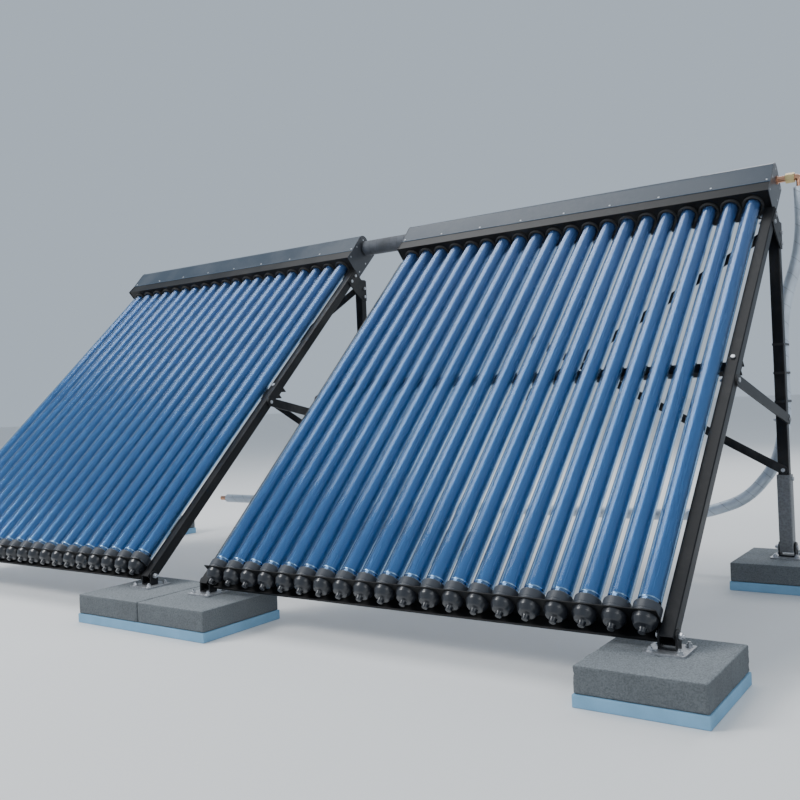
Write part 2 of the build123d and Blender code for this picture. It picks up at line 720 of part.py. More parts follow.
tie_width = 8.0
with BuildPart() as cable_ties:
    for z in (640, 740, 840):
        with BuildSketch(Plane.XY.offset(z - tie_width / 2)) as band:
            with Locations((leg_x, rear_foot_y)):
                Rectangle(rail_size, rail_size)
            with Locations((run_x, hose_y)):
                Circle(hose_radius + 0.6)
            make_hull()
            offset(amount=1.6)
        extrude(amount=tie_width)
        with BuildSketch(Plane.XY.offset(z - tie_width)):
            with Locations((leg_x, rear_foot_y)):
                Rectangle(rail_size, rail_size)
            with Locations((run_x, hose_y)):
                Circle(hose_radius + 0.6)
            make_hull()
        extrude(amount=2 * tie_width, mode=Mode.SUBTRACT)
keep(cable_ties, "cable_ties")

hanger_width = 26.0         # of the bar across the middle legs and of the hose's drop strap
bar_y = rear_foot_y + rail_size / 2
strap_y = bar_y + 4
with BuildPart() as pipe_hanger:
    with BuildSketch(Plane.XZ.offset(-bar_y)):
        with Locations((0, hanger_z)):
            Rectangle(rail_places[2] - rail_places[1] + rail_size - 4, hanger_width)
        with Locations((rail_places[1], hanger_z), (rail_places[2], hanger_z)):
            Circle(bolt_radius, mode=Mode.SUBTRACT)
    extrude(amount=-4)
    with BuildSketch(Plane.XZ.offset(-strap_y)):
        with Locations((0, (hanger_z + 12 + hose_low) / 2)):
            Rectangle(hanger_width, hanger_z + 12 - hose_low)
    extrude(amount=-3)
    with BuildSketch(upright_plane(-hanger_width / 2)):
        with Locations(((strap_y + hose_y) / 2, hose_low + 3)):
            Rectangle(hose_y - strap_y, 6)
        with Locations((hose_y, hose_low)):
            Circle(hose_radius + 3)
    extrude(amount=hanger_width)
    with BuildSketch(upright_plane(-hanger_width / 2)):
        with Locations((hose_y, hose_low)):
            Circle(hose_radius)
    extrude(amount=hanger_width, mode=Mode.SUBTRACT)
keep(pipe_hanger, "pipe_hanger")
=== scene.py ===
"""Finishes of the solar water heater: two linked evacuated-tube collectors on a tilting stand.

The object's own frame is used: metres, x to the right, y to the rear, z up. Places on a
collector are (x, s, n) in millimetres: s up the slope from the rim of the end cups and n
outwards from the plane of the tube axes.
"""
import json
from math import cos, pi, radians, sin

import bmesh
import bpy
from mathutils import Matrix, Vector, noise

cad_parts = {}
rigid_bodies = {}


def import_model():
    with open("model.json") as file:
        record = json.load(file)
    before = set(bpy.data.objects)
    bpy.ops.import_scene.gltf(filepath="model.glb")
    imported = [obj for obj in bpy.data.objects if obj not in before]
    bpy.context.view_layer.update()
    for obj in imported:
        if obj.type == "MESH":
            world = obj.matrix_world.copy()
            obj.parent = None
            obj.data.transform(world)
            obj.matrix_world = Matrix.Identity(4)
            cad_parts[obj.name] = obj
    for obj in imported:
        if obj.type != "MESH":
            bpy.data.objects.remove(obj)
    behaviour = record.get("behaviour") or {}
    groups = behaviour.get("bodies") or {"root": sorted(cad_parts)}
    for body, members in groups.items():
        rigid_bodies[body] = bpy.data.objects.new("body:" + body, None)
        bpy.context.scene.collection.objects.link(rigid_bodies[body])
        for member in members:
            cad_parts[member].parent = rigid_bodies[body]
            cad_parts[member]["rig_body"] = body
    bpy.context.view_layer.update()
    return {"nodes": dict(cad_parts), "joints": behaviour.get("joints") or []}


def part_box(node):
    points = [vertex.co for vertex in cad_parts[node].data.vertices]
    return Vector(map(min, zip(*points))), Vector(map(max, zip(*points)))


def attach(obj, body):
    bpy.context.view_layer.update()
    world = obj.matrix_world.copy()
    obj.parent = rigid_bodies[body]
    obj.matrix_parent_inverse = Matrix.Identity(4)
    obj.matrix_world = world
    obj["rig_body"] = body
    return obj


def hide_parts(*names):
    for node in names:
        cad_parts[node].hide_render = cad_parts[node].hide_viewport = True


bl_info = {
    "name": "Solar Water Heater Finishes",
    "version": (1, 0, 0),
    "blender": (4, 5, 0),
    "location": "3D View > Sidebar > Solar heater",
    "description": "Glass tubes, metalwork, pipework, footings and studio of a solar water heater",
    "category": "Object",
}

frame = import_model()

MM = 0.001
SIDES = ("left", "right")
TUBES = 20
HEM = (1713, 50.6)          # (s, n) of the hem along the hood's lower edge
RIVET_LINE = (1724, 52.3)   # and of the rivets above it
PLATE_RIVETS = ((1680, 38), (1680, -50), (1750, 42), (1745, -52), (1812, 34), (1815, -50))
RIVET_HEIGHT = 1.6 * MM
slide = next(j for j in frame["joints"] if j["name"] == "tubes_left_slide")
UP_SLOPE = -Vector(slide["axis"]).normalized()
OUTWARD = Vector((1, 0, 0)).cross(UP_SLOPE)
ring_low, ring_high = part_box("cup_rings_left")
RIM = (ring_low + ring_high) / 2 + UP_SLOPE * 15.5 * MM


def row_places(side):
    """x of each tube axis of a collector, in metres."""
    low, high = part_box(f"cup_rings_{side}")
    first, last = low.x + 35 * MM, high.x - 35 * MM
    return [first + (last - first) * i / (TUBES - 1) for i in range(TUBES)]


def on_slope(x, s, n):
    """Point of the object at x metres and (s, n) millimetres."""
    return Vector((x, RIM.y, RIM.z)) + UP_SLOPE * s * MM + OUTWARD * n * MM


# ---- what a user may change -------------------------------------------------------------
def length(name, description, default):
    return bpy.props.FloatProperty(name=name, description=description, default=default * MM,
                                   subtype="DISTANCE", unit="LENGTH", min=0)


def colour(name, description, default):
    return bpy.props.FloatVectorProperty(name=name, description=description, default=default,
                                         subtype="COLOR", size=3, min=0, max=1)


class HeaterSizes(bpy.types.PropertyGroup):
    """Sizes of the finished pieces."""
    glass_radius: length("Glass radius", "Outer radius of an evacuated tube", 29)
    glass_wall: length("Glass wall", "Wall of the outer glass", 1.6)
    absorber_radius: length("Absorber radius", "Radius of the coated inner tube", 23.5)
    cup_radius: length("Cup radius", "Radius of an end cup", 30.8)
    ring_radius: length("Ring radius", "Radius of the ring that holds a cup", 35)
    edge_round: length("Edge rounding", "Rounding of sheet and tube edges", 0.8)
    rivet_radius: length("Rivet radius", "Radius of the hood's rivet heads", 4)
    rivet_gap: length("Rivet spacing", "Distance between the hood's rivets", 186)
    wrap_pitch: length("Wrap pitch", "Distance between turns of the pipe tape", 38)


class HeaterColours(bpy.types.PropertyGroup):
    """Colours of the finishes."""
    coating: colour("Absorber coating", "Selective coating of the inner tubes", (0.15, 0.33, 0.56))
    coating_top: colour("Coating, top", "Coating towards the manifold", (0.22, 0.31, 0.52))
    glass: colour("Glass", "Tint of the outer glass", (0.58, 0.74, 0.9))
    cup: colour("End cups", "Moulded end cups", (0.012, 0.014, 0.019))
    ring: colour("Cup rings", "Rings round the cups", (0.035, 0.04, 0.05))
    hood: colour("Hood", "Upper cover of the manifold", (0.03, 0.045, 0.065))
    casing: colour("Casing", "Lower casing of the manifold", (0.006, 0.006, 0.007))
    steel: colour("Frame paint", "Powder coat of rails, legs and braces", (0.007, 0.0075, 0.009))
    zinc: colour("Zinc", "Galvanised plates and bolts", (0.5, 0.51, 0.53))
    concrete: colour("Concrete", "Pavers", (0.15, 0.165, 0.175))
    foam: colour("Foam board", "Boards under the pavers", (0.22, 0.42, 0.6))
    tape: colour("Link wrap", "Weathered tape on the link pipe", (0.045, 0.05, 0.06))
    foil: colour("Foil sleeve", "Sleeve of the return line", (0.68, 0.75, 0.83))
    floor: colour("Floor", "Studio floor", (0.8, 0.8, 0.79))


# ---- shader helpers ---------------------------------------------------------------------
class Signal:
    """A number socket that takes part in Python expressions."""

    def __init__(self, tree, socket):
        self.tree = tree
        self.socket = socket

    def maths(self, operation, first, second):
        node = self.tree.nodes.new("ShaderNodeMath")
        node.operation = operation
        for slot, value in zip(node.inputs, (first, second)):
            if isinstance(value, Signal):
                self.tree.links.new(value.socket, slot)
            else:
                slot.default_value = value
        return Signal(self.tree, node.outputs[0])

    def __add__(self, other):
        return self.maths("ADD", self, other)

    def __radd__(self, other):
        return self.maths("ADD", other, self)

    def __sub__(self, other):
        return self.maths("SUBTRACT", self, other)

    def __rsub__(self, other):
        return self.maths("SUBTRACT", other, self)

    def __mul__(self, other):
        return self.maths("MULTIPLY", self, other)

    def __rmul__(self, other):
        return self.maths("MULTIPLY", other, self)

class Finish:
    """A material with one principled shader."""

    def __init__(self, name, **constants):
        self.material = bpy.data.materials.new(name)
        self.material.use_nodes = True
        self.tree = self.material.node_tree
        self.tree.nodes.clear()
        self.shader = self.node("ShaderNodeBsdfPrincipled", (), constants)
        self.output = self.node("ShaderNodeOutputMaterial", (), {"Surface": self.shader.outputs[0]})
        self.place = self.node("ShaderNodeTexCoord").outputs["Object"]

    def node(self, kind, settings=(), values=()):
        """A node of a kind; its settings come first, then the values or links of its sockets."""
        node = self.tree.nodes.new(kind)
        for key, value in dict(settings).items():
            setattr(node, key, value)
        for key, value in dict(values).items():
            socket = node.inputs[key]
            if isinstance(value, Signal):
                value = value.socket
            if isinstance(value, bpy.types.NodeSocket):
                self.tree.links.new(value, socket)
            elif socket.type == "RGBA" and len(value) == 3:
                socket.default_value = (*value, 1)
            else:
                socket.default_value = value
        return node

    def noise(self, scale, detail=4.0, stretch=(1, 1, 1)):
        spread = self.node("ShaderNodeMapping", (), {"Vector": self.place, "Scale": stretch})
        made = self.node("ShaderNodeTexNoise", (), {"Vector": spread.outputs[0], "Scale": scale,
                                                    "Detail": detail})
        return Signal(self.tree, made.outputs["Fac"])

    def cells(self, scale):
        made = self.node("ShaderNodeTexVoronoi", (), {"Vector": self.place, "Scale": scale})
        return Signal(self.tree, made.outputs["Distance"])

    def along(self, direction, start, reach):
        """0 to 1 along a direction of the object."""
        dot = self.node("ShaderNodeVectorMath", {"operation": "DOT_PRODUCT"},
                        {0: self.place, 1: direction})
        value = Signal(self.tree, dot.outputs["Value"])
        made = self.node("ShaderNodeMapRange", (), {"Value": value, "From Min": start,
                                                    "From Max": start + reach})
        return Signal(self.tree, made.outputs[0])

    def step(self, value, low, high):
        made = self.node("ShaderNodeMapRange", {"interpolation_type": "SMOOTHSTEP"},
                         {"Value": value, "From Min": low, "From Max": high})
        return Signal(self.tree, made.outputs[0])

    def mix(self, factor, first, second):
        made = self.node("ShaderNodeMix", {"data_type": "RGBA"})
        for index, value in ((0, factor), (6, first), (7, second)):
            socket = made.inputs[index]
            if isinstance(value, Signal):
                self.tree.links.new(value.socket, socket)
            elif isinstance(value, bpy.types.NodeSocket):
                self.tree.links.new(value, socket)
            else:
                socket.default_value = value if index == 0 else (*value, 1)
        return made.outputs[2]

    def put(self, name, value):
        socket = value.socket if isinstance(value, Signal) else value
        self.tree.links.new(socket, self.shader.inputs[name])

    def bump(self, height, distance, strength=1.0):
        made = self.node("ShaderNodeBump", (), {"Height": height, "Distance": distance,
                                                "Strength": strength})
        self.put("Normal", made.outputs[0])


def shade(tint, factor):
    """A colour made lighter or darker."""
    return tuple(min(1.0, part * factor) for part in tint)


def coated(name, tint, roughness=0.35, wear=0.25, dust=0.035):
    """Powder coat: orange-peel bump, faint dust and uneven gloss."""
    finish = Finish(name, IOR=1.4)
    finish.shader.inputs["Specular IOR Level"].default_value = 0.3
    cloud = finish.noise(6.0)
    grain = finish.noise(900.0, 2.0)
    dusty = finish.step(cloud + 0.25 * finish.noise(60.0), 0.55, 0.85) * dust
    base = finish.mix(cloud, shade(tint, 1 - wear), shade(tint, 1 + wear))
    finish.put("Base Color", finish.mix(dusty, base, (0.42, 0.40, 0.37)))
    finish.put("Roughness", roughness - 0.06 + 0.14 * cloud + 0.4 * dusty)
    finish.bump(grain, 0.00006)
    return finish.material


def galvanised(name, tint, roughness=0.38):
    """Zinc with a faint spangle."""
    finish = Finish(name, Metallic=0.9)
    spangle = finish.cells(140.0)
    cloud = finish.noise(14.0)
    base = finish.mix(spangle, shade(tint, 0.72), shade(tint, 1.12))
    finish.put("Base Color", finish.mix(finish.step(cloud, 0.5, 0.8) * 0.5, base, shade(tint, 0.5)))
    finish.put("Roughness", roughness + 0.2 * cloud)
    finish.bump(finish.noise(500.0, 2.0), 0.00005)
    return finish.material


def metal(name, tint, roughness):
    """Bare metal, slightly dulled."""
    finish = Finish(name, Metallic=1.0)
    cloud = finish.noise(25.0)
    finish.put("Base Color", finish.mix(cloud, shade(tint, 0.75), shade(tint, 1.1)))
    finish.put("Roughness", roughness + 0.2 * cloud)
    return finish.material


def moulded(name, tint, roughness, gloss=0.0):
    """Moulded plastic or rubber."""
    finish = Finish(name, IOR=1.46)
    cloud = finish.noise(18.0)
    finish.put("Base Color", finish.mix(cloud, shade(tint, 0.8), shade(tint, 1.25)))
    finish.put("Roughness", roughness - 0.05 + 0.14 * cloud)
    finish.shader.inputs["Coat Weight"].default_value = gloss
    finish.shader.inputs["Coat Roughness"].default_value = 0.2
    finish.bump(finish.noise(1400.0, 1.0), 0.00004)
    return finish.material


def clear_glass(name, tint):
    """Borosilicate glass of the outer tubes."""
    finish = Finish(name, IOR=1.3)
    finish.shader.inputs["Transmission Weight"].default_value = 1.0
    film = finish.noise(9.0)
    finish.put("Base Color", finish.mix(film, shade(tint, 0.97), tint))
    finish.put("Roughness", 0.03 * film)
    return finish.material


def selective(name, low, high):
    """Blue-black coating with a faint streak along the tube and a violet cast at the top."""
    finish = Finish(name, Metallic=0.3, IOR=1.4)
    rise = finish.along(UP_SLOPE, RIM.dot(UP_SLOPE), 1.7)
    streak = finish.noise(22.0, 3.0, (6.0, 0.25, 0.25))
    cast = finish.step(rise, 0.35, 1.0)
    base = finish.mix(cast, low, high)
    finish.put("Base Color", finish.mix(0.35 * streak, base, shade(low, 0.45)))
    finish.put("Roughness", 0.2 + 0.12 * streak)
    finish.shader.inputs["Coat Weight"].default_value = 0.1
    finish.shader.inputs["Coat Roughness"].default_value = 0.12
    return finish.material


def rough_concrete(name, tint):
    """Cast paver: upward faces painted lighter (painted light), pits painted darker (painted shade)
    and fine sand.
    """
    finish = Finish(name, IOR=1.45)
    facing = finish.node("ShaderNodeSeparateXYZ", (),
                         {0: finish.node("ShaderNodeNewGeometry").outputs["Normal"]})
    top = finish.step(Signal(finish.tree, facing.outputs["Z"]), 0.5, 0.95)
    cloud = finish.noise(7.0, 8.0)
    sand = finish.step(finish.noise(260.0, 6.0), 0.35, 0.7)
    pits = finish.step(finish.cells(170.0), 0.06, 0.22)
    base = finish.mix(cloud, shade(tint, 0.62), shade(tint, 1.12))
    # Painted light: faces that point up are mixed towards a colour 2.1 times lighter.
    base = finish.mix(0.5 * top, base, shade(tint, 2.1))
    base = finish.mix(0.55 * sand, base, shade(tint, 0.45))
    # Painted shade: the pits are mixed towards a colour 0.35 times as light.
    finish.put("Base Color", finish.mix((1 - pits) * 0.5, base, shade(tint, 0.35)))
    finish.put("Roughness", 0.82 + 0.14 * sand)
    finish.bump(pits * 0.7 + sand * 0.6 + cloud, 0.0012)
    return finish.material


def board_foam(name, tint):
    """Extruded foam board: pale blue, fine cells and soiled patches."""
    finish = Finish(name, IOR=1.4)
    cloud = finish.noise(12.0, 6.0)
    beads = finish.cells(700.0)
    base = finish.mix(cloud, shade(tint, 0.75), shade(tint, 1.25))
    finish.put("Base Color", finish.mix(finish.step(cloud, 0.62, 0.8) * 0.4, base, (0.2, 0.18, 0.15)))
    finish.put("Roughness", 0.6 + 0.25 * cloud)
    finish.bump(beads, 0.0006)
    return finish.material


def wrapped(name, tint, pale, pitch, axis, metallic, roughness):
    """Tape or foil wound round a pipe, with an overlap line at each turn."""
    finish = Finish(name, Metallic=metallic, IOR=1.45)
    lie = finish.node("ShaderNodeVectorMath", {"operation": "DOT_PRODUCT"},
                      {0: finish.place, 1: axis})
    turn = Signal(finish.tree, lie.outputs["Value"]) * (1 / pitch)
    turn = turn + 0.3 * finish.noise(10.0, 2.0)
    saw = finish.node("ShaderNodeMath", {"operation": "FRACT"}, {0: turn})
    saw = Signal(finish.tree, saw.outputs[0])
    edge = 1 - finish.step(saw, 0.0, 0.09)
    crumple = finish.noise(55.0, 6.0)
    cloud = finish.noise(11.0, 5.0)
    base = finish.mix(finish.step(cloud + 0.3 * crumple, 0.5, 0.9), tint, pale)
    finish.put("Base Color", finish.mix(0.55 * edge, base, shade(tint, 0.4)))
    finish.put("Roughness", roughness + 0.3 * crumple)
    finish.bump(crumple * 0.9 + saw * 0.6, 0.0022)
    return finish.material


def wool(name, tint):
    """Pressed mineral wool."""
    finish = Finish(name, IOR=1.3)
    fibres = finish.noise(160.0, 8.0, (1, 4, 4))
    finish.put("Base Color", finish.mix(fibres, shade(tint, 0.6), shade(tint, 1.2)))
    finish.put("Roughness", 0.85 + 0.1 * fibres)
    finish.bump(fibres, 0.001)
    return finish.material


# ---- mesh helpers -----------------------------------------------------------------------
def added(name, shape, material, body, replaced=(), sharp=35):
    """A finished piece from a bmesh: it rides on a body and stands for CAD nodes."""
    mesh = bpy.data.meshes.new(name)
    shape.to_mesh(mesh)
    shape.free()
    piece = bpy.data.objects.new(name, mesh)
    bpy.context.scene.collection.objects.link(piece)
    mesh.materials.append(material)
    mesh.shade_smooth()
    mesh.set_sharp_from_angle(angle=radians(sharp))
    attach(piece, body)
    if replaced:
        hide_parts(*replaced)
    return piece


def painted(node, material):
    """Give a CAD node its material."""
    piece = frame["nodes"][node]
    piece.data.materials.clear()
    piece.data.materials.append(material)


def rounded(piece, width, segments=2):
    """Soften a piece's sharp edges."""
    bevel = piece.modifiers.new("edges", "BEVEL")
    bevel.width = width
    bevel.segments = segments
    bevel.limit_method = "ANGLE"
    bevel.angle_limit = radians(40)
    bevel.harden_normals = False
    return piece


def dressed(node, material, width=0.0, sharp=35):
    """A merged, smooth-shaded copy of a CAD node with softened edges."""
    source = frame["nodes"][node]
    shape = bmesh.new()
    shape.from_mesh(source.data)
    bmesh.ops.remove_doubles(shape, verts=shape.verts, dist=0.00002)
    bmesh.ops.dissolve_limit(shape, angle_limit=radians(0.5), verts=shape.verts, edges=shape.edges)
    piece = added(node + "_finished", shape, material, source["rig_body"], (node,), sharp=sharp)
    if width:
        rounded(piece, width)
    return piece


def arc(centre, radius, start, end, steps):
    """Points (r, s) of an arc; angles in degrees from the r direction towards +s."""
    angles = [radians(start + (end - start) * i / steps) for i in range(steps + 1)]
    return [(centre[0] + radius * cos(a), centre[1] + radius * sin(a)) for a in angles]


def turned_row(name, profile, places, steps=32):
    """Bmesh of a profile (r, s), in millimetres, spun about each tube axis of a row."""
    one = bmesh.new()
    across = Vector((1, 0, 0))
    outline = [one.verts.new(across * r * MM + UP_SLOPE * s * MM) for r, s in profile]
    edges = [one.edges.new(pair) for pair in zip(outline, outline[1:])]
    bmesh.ops.spin(one, geom=outline + edges, cent=(0, 0, 0), axis=UP_SLOPE, angle=2 * pi,
                   steps=steps, use_merge=True)
    bmesh.ops.remove_doubles(one, verts=one.verts, dist=0.000005)
    bmesh.ops.recalc_face_normals(one, faces=one.faces)
    single = bpy.data.meshes.new(name + "_one")
    one.to_mesh(single)
    one.free()
    row = bmesh.new()
    for x in places:
        before = len(row.verts)
        row.from_mesh(single)
        row.verts.ensure_lookup_table()
        bmesh.ops.translate(row, verts=row.verts[before:], vec=on_slope(x, 0, 0))
    bpy.data.meshes.remove(single)
    return row


def rod(shape, start, end, radius, steps=16):
    """Add a round bar between two points."""
    start, end = Vector(start), Vector(end)
    turn = Vector((0, 0, 1)).rotation_difference((end - start).normalized()).to_matrix().to_4x4()
    spot = Matrix.Translation((start + end) / 2) @ turn
    return bmesh.ops.create_cone(shape, cap_ends=True, segments=steps, radius1=radius, radius2=radius,
                                 depth=(end - start).length, matrix=spot)["verts"]


def dome(shape, centre, normal, radius, height):
    """Add a low rivet head on a face."""
    turn = Vector((0, 0, 1)).rotation_difference(Vector(normal)).to_matrix().to_4x4()
    flat = Matrix.Diagonal((1, 1, height / radius, 1))
    bmesh.ops.create_uvsphere(shape, u_segments=14, v_segments=8, radius=radius,
                              matrix=Matrix.Translation(centre) @ turn @ flat)


def both(piece):
    """Names of a piece's left and right nodes."""
    return [f"{piece}_{side}" for side in SIDES]


# ---- operators --------------------------------------------------------------------------
class HEATER_OT_glass(bpy.types.Operator):
    """Outer glass of the evacuated tubes, with the silver getter film at its foot"""
    bl_idname = "heater.glass"
    bl_label = "Outer glass"

    def execute(self, context):
        sizes, colours = context.scene.heater_sizes, context.scene.heater_colours
        glass = clear_glass("tube glass", colours.glass)
        film = metal("getter film", (0.3, 0.35, 0.42), 0.05)
        outer = sizes.glass_radius / MM
        inner = outer - sizes.glass_wall / MM
        foot, head = -50 + outer, 1750
        wall = [*arc((0, foot), outer, -90, 0, 10), (outer, foot + 60), (outer, head - 60),
                (outer, head), (inner, head), (inner, foot), *arc((0, foot), inner, 0, -90, 10)]
        skin = inner - 0.25
        coat = [(skin - 0.3, 11), (skin, 10), (skin, foot), *arc((0, foot), skin, 0, -60, 6)]
        for side in SIDES:
            places = row_places(side)
            added(f"tube_glass_{side}", turned_row("glass", wall, places, 40), glass,
                  f"tubes_{side}", (f"outer_glass_{side}",))
            added(f"getter_film_{side}", turned_row("film", coat, places), film,
                  f"tubes_{side}")
        return {"FINISHED"}


class HEATER_OT_absorbers(bpy.types.Operator):
    """Coated inner tubes and what they hold"""
    bl_idname = "heater.absorbers"
    bl_label = "Absorber tubes"

    def execute(self, context):
        sizes, colours = context.scene.heater_sizes, context.scene.heater_colours
        coating = selective("absorber coating", colours.coating, colours.coating_top)
        radius = sizes.absorber_radius / MM
        profile = [*arc((0, -8), radius, -90, 0, 8), (radius, 400), (radius, 1200), (radius, 1747),
                   (0, 1747)]
        fillings = (("getter_clips", metal("clip steel", (0.7, 0.7, 0.72), 0.2), "spring_steel"),
                    ("heat_pipes", metal("heat pipe copper", (0.78, 0.42, 0.27), 0.2), "copper"),
                    ("heat_fins", metal("fin aluminium", (0.8, 0.8, 0.82), 0.3), "fin_aluminium"),
                    ("tube_plugs", wool("plug wool", (0.75, 0.72, 0.62)), "plug_wool"))
        for side in SIDES:
            added(f"absorber_coat_{side}", turned_row("absorber", profile, row_places(side), 40),
                  coating, f"tubes_{side}", (f"absorber_tubes_{side}",))
            for node, material, slot in fillings:
                painted(f"{node}_{side}", material)
        return {"FINISHED"}


class HEATER_OT_cups(bpy.types.Operator):
    """End cups, the rings that hold them and the seals at the manifold"""
    bl_idname = "heater.cups"
    bl_label = "End cups and seals"

    def execute(self, context):
        sizes, colours = context.scene.heater_sizes, context.scene.heater_colours
        cup = moulded("cup plastic", colours.cup, 0.3, 0.5)
        ring = moulded("ring plastic", colours.ring, 0.42, 0.25)
        rubber = moulded("seal rubber", (0.02, 0.02, 0.021), 0.6)
        radius, rim = sizes.cup_radius / MM, sizes.ring_radius / MM
        bore = sizes.glass_radius / MM + 0.4
        cup_profile = [(0, -75), (4.5, -75), *arc((6, -72), 3, -80, 0, 4), (9.4, -65),
                       (10.4, -62.6), (13, -61.4), (18, -60.4), *arc((18, -54.4), 6, -85, -25, 4),
                       (27.6, -49.2), (radius - 0.8, -45), (radius, -43), (radius, -12),
                       (radius - 0.5, -10), (bore, -10), (bore, -24)]
        ring_profile = [(radius + 0.4, -30.5), (rim - 1.4, -30.5), (rim - 0.3, -30), (rim, -29),
                        (rim, -27.4), (rim - 0.9, -26.2), (rim - 1.1, -25), (rim - 0.9, -23.8),
                        (rim, -22.6), (rim, -4), *arc((rim - 3, -3), 3, 0, 90, 5),
                        (bore + 1.4, 0), (bore + 0.3, -0.8), (bore + 0.2, -9.5),
                        (radius + 0.4, -9.5), (radius + 0.4, -30.5)]
        seal_profile = [(bore, 1651), (34.6, 1651), *arc((34.6, 1652.4), 1.4, -90, 0, 4),
                        (36, 1660), (33.5, 1660), (33.5, 1668), (bore, 1668), (bore, 1651)]
        for side in SIDES:
            places = row_places(side)
            added(f"cups_{side}", turned_row("cup", cup_profile, places, 36), cup,
                  f"tubes_{side}", (f"end_cups_{side}",))
            added(f"rings_{side}", turned_row("ring", ring_profile, places, 36), ring,
                  "array", (f"cup_rings_{side}",))
            added(f"seals_{side}", turned_row("seal", seal_profile, places, 28), rubber,
                  "array", (f"tube_seals_{side}",))
        return {"FINISHED"}


class HEATER_OT_manifolds(bpy.types.Operator):
    """Manifold casings, hoods, end plates, headers and their rivets"""
    bl_idname = "heater.manifolds"
    bl_label = "Manifolds"

    def execute(self, context):
        sizes, colours = context.scene.heater_sizes, context.scene.heater_colours
        hood = coated("hood paint", colours.hood, 0.3, 0.12, 0.06)
        casing = coated("casing paint", colours.casing, 0.4)
        plate = coated("end plate paint", (0.055, 0.06, 0.07), 0.35)
        copper = metal("pipe copper", (0.72, 0.38, 0.24), 0.22)
        rivet = metal("rivet aluminium", (0.5, 0.52, 0.55), 0.3)
        width = sizes.edge_round
        for side in SIDES:
            dressed(f"manifold_hood_{side}", hood, 0.3 * width)
            dressed(f"manifold_casing_{side}", casing)
            dressed(f"manifold_end_plates_{side}", plate, 0.7 * width)
            dressed(f"header_pipe_{side}", copper)
            painted(f"manifold_insulation_{side}", wool("manifold wool", (0.62, 0.56, 0.38)))
            low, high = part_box(f"manifold_hood_{side}")
            heads = bmesh.new()
            count = round((high.x - low.x) / sizes.rivet_gap)
            for i in range(count + 1):
                x = low.x + 12 * MM + (high.x - low.x - 24 * MM) * i / count
                dome(heads, on_slope(x, *RIVET_LINE), OUTWARD, sizes.rivet_radius, RIVET_HEIGHT)
            low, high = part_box(f"manifold_end_plates_{side}")
            for x, look in ((low.x, -1), (high.x, 1)):
                for s, n in PLATE_RIVETS:
                    dome(heads, on_slope(x, s, n), (look, 0, 0), sizes.rivet_radius, RIVET_HEIGHT)
            added(f"rivets_{side}", heads, rivet, "array")
            low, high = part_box(f"manifold_hood_{side}")
            hem = bmesh.new()
            rod(hem, on_slope(low.x, *HEM), on_slope(high.x, *HEM), 1.9 * MM, 12)
            # The hem's paint is the hood colour made 1.9 times lighter: a painted highlight along the
            # hood's lower edge.
            added(f"hood_hem_{side}", hem, coated("hood hem highlight", shade(colours.hood, 1.9), 0.28),
                  "array")
        return {"FINISHED"}


class HEATER_OT_stand(bpy.types.Operator):
    """Rails, legs, tracks, braces and brackets"""
    bl_idname = "heater.stand"
    bl_label = "Stand"

    def execute(self, context):
        sizes, colours = context.scene.heater_sizes, context.scene.heater_colours
        steel = coated("frame paint", colours.steel, 0.36)
        track = coated("track paint", shade(colours.steel, 0.6), 0.5)
        strut = coated("strut paint", shade(colours.steel, 1.3), 0.42, 0.3, 0.08)
        zinc = galvanised("sleeve zinc", shade(colours.zinc, 0.45))
        width = sizes.edge_round
        for node in (*both("side_rails"), *both("rear_legs")):
            dressed(node, steel, 0.4 * width, 30)
        for node in both("bottom_track"):
            dressed(node, track, 0.4 * width)
        for node in (*both("cross_braces"), "mid_crossbars", "side_struts", "leg_gussets",
                     "manifold_brackets"):
            dressed(node, strut, 0.6 * width)
        dressed("leg_sleeves", zinc, 0.6 * width, 30)
        return {"FINISHED"}


class HEATER_OT_fixings(bpy.types.Operator):
    """Bolts, screws, foot plates and clevises"""
    bl_idname = "heater.fixings"
    bl_label = "Feet and fixings"

    def execute(self, context):
        sizes, colours = context.scene.heater_sizes, context.scene.heater_colours
        zinc = galvanised("bolt zinc", shade(colours.zinc, 1.2), 0.25)
        plate = galvanised("plate zinc", colours.zinc)
        black = coated("clevis paint", shade(colours.steel, 1.4), 0.4)
        for node in ("frame_bolts", "sleeve_screws", "front_pivot_bolts", "rear_pivot_bolts",
                     "anchor_bolts"):
            dressed(node, zinc, 0.6 * sizes.edge_round)
        for node in ("front_clevises", "rear_clevises"):
            dressed(node, black, sizes.edge_round)
        dressed("foot_plates", plate, sizes.edge_round)
        return {"FINISHED"}


class HEATER_OT_footings(bpy.types.Operator):
    """Concrete pavers and the foam boards under them"""
    bl_idname = "heater.footings"
    bl_label = "Footings"

    def execute(self, context):
        colours = context.scene.heater_colours
        stone = rough_concrete("paver concrete", colours.concrete)
        foam = board_foam("blue foam", colours.foam)
        for name in ("front", "rear"):
            slabs = bmesh.new()
            source = bmesh.new()
            source.from_mesh(frame["nodes"][f"{name}_pavers"].data)
            bmesh.ops.remove_doubles(source, verts=source.verts, dist=0.00002)
            for low, high in blocks(source):
                worn_slab(slabs, low, high)
            source.free()
            added(f"{name}_slabs", slabs, stone, "base", (f"{name}_pavers",), sharp=50)
            boards = dressed(f"{name}_foam_boards", foam)
            rounded(boards, 2.5 * MM, 3)
        return {"FINISHED"}


def blocks(source):
    """Lowest and highest corner of each separate lump of a bmesh."""
    left = set(source.verts)
    found = []
    while left:
        seed = left.pop()
        lump, edge = {seed}, [seed]
        while edge:
            vertex = edge.pop()
            near = {e.other_vert(vertex) for e in vertex.link_edges} & left
            left -= near
            lump |= near
            edge.extend(near)
        xyz = [v.co for v in lump]
        found.append((Vector(map(min, zip(*xyz))), Vector(map(max, zip(*xyz)))))
    return found


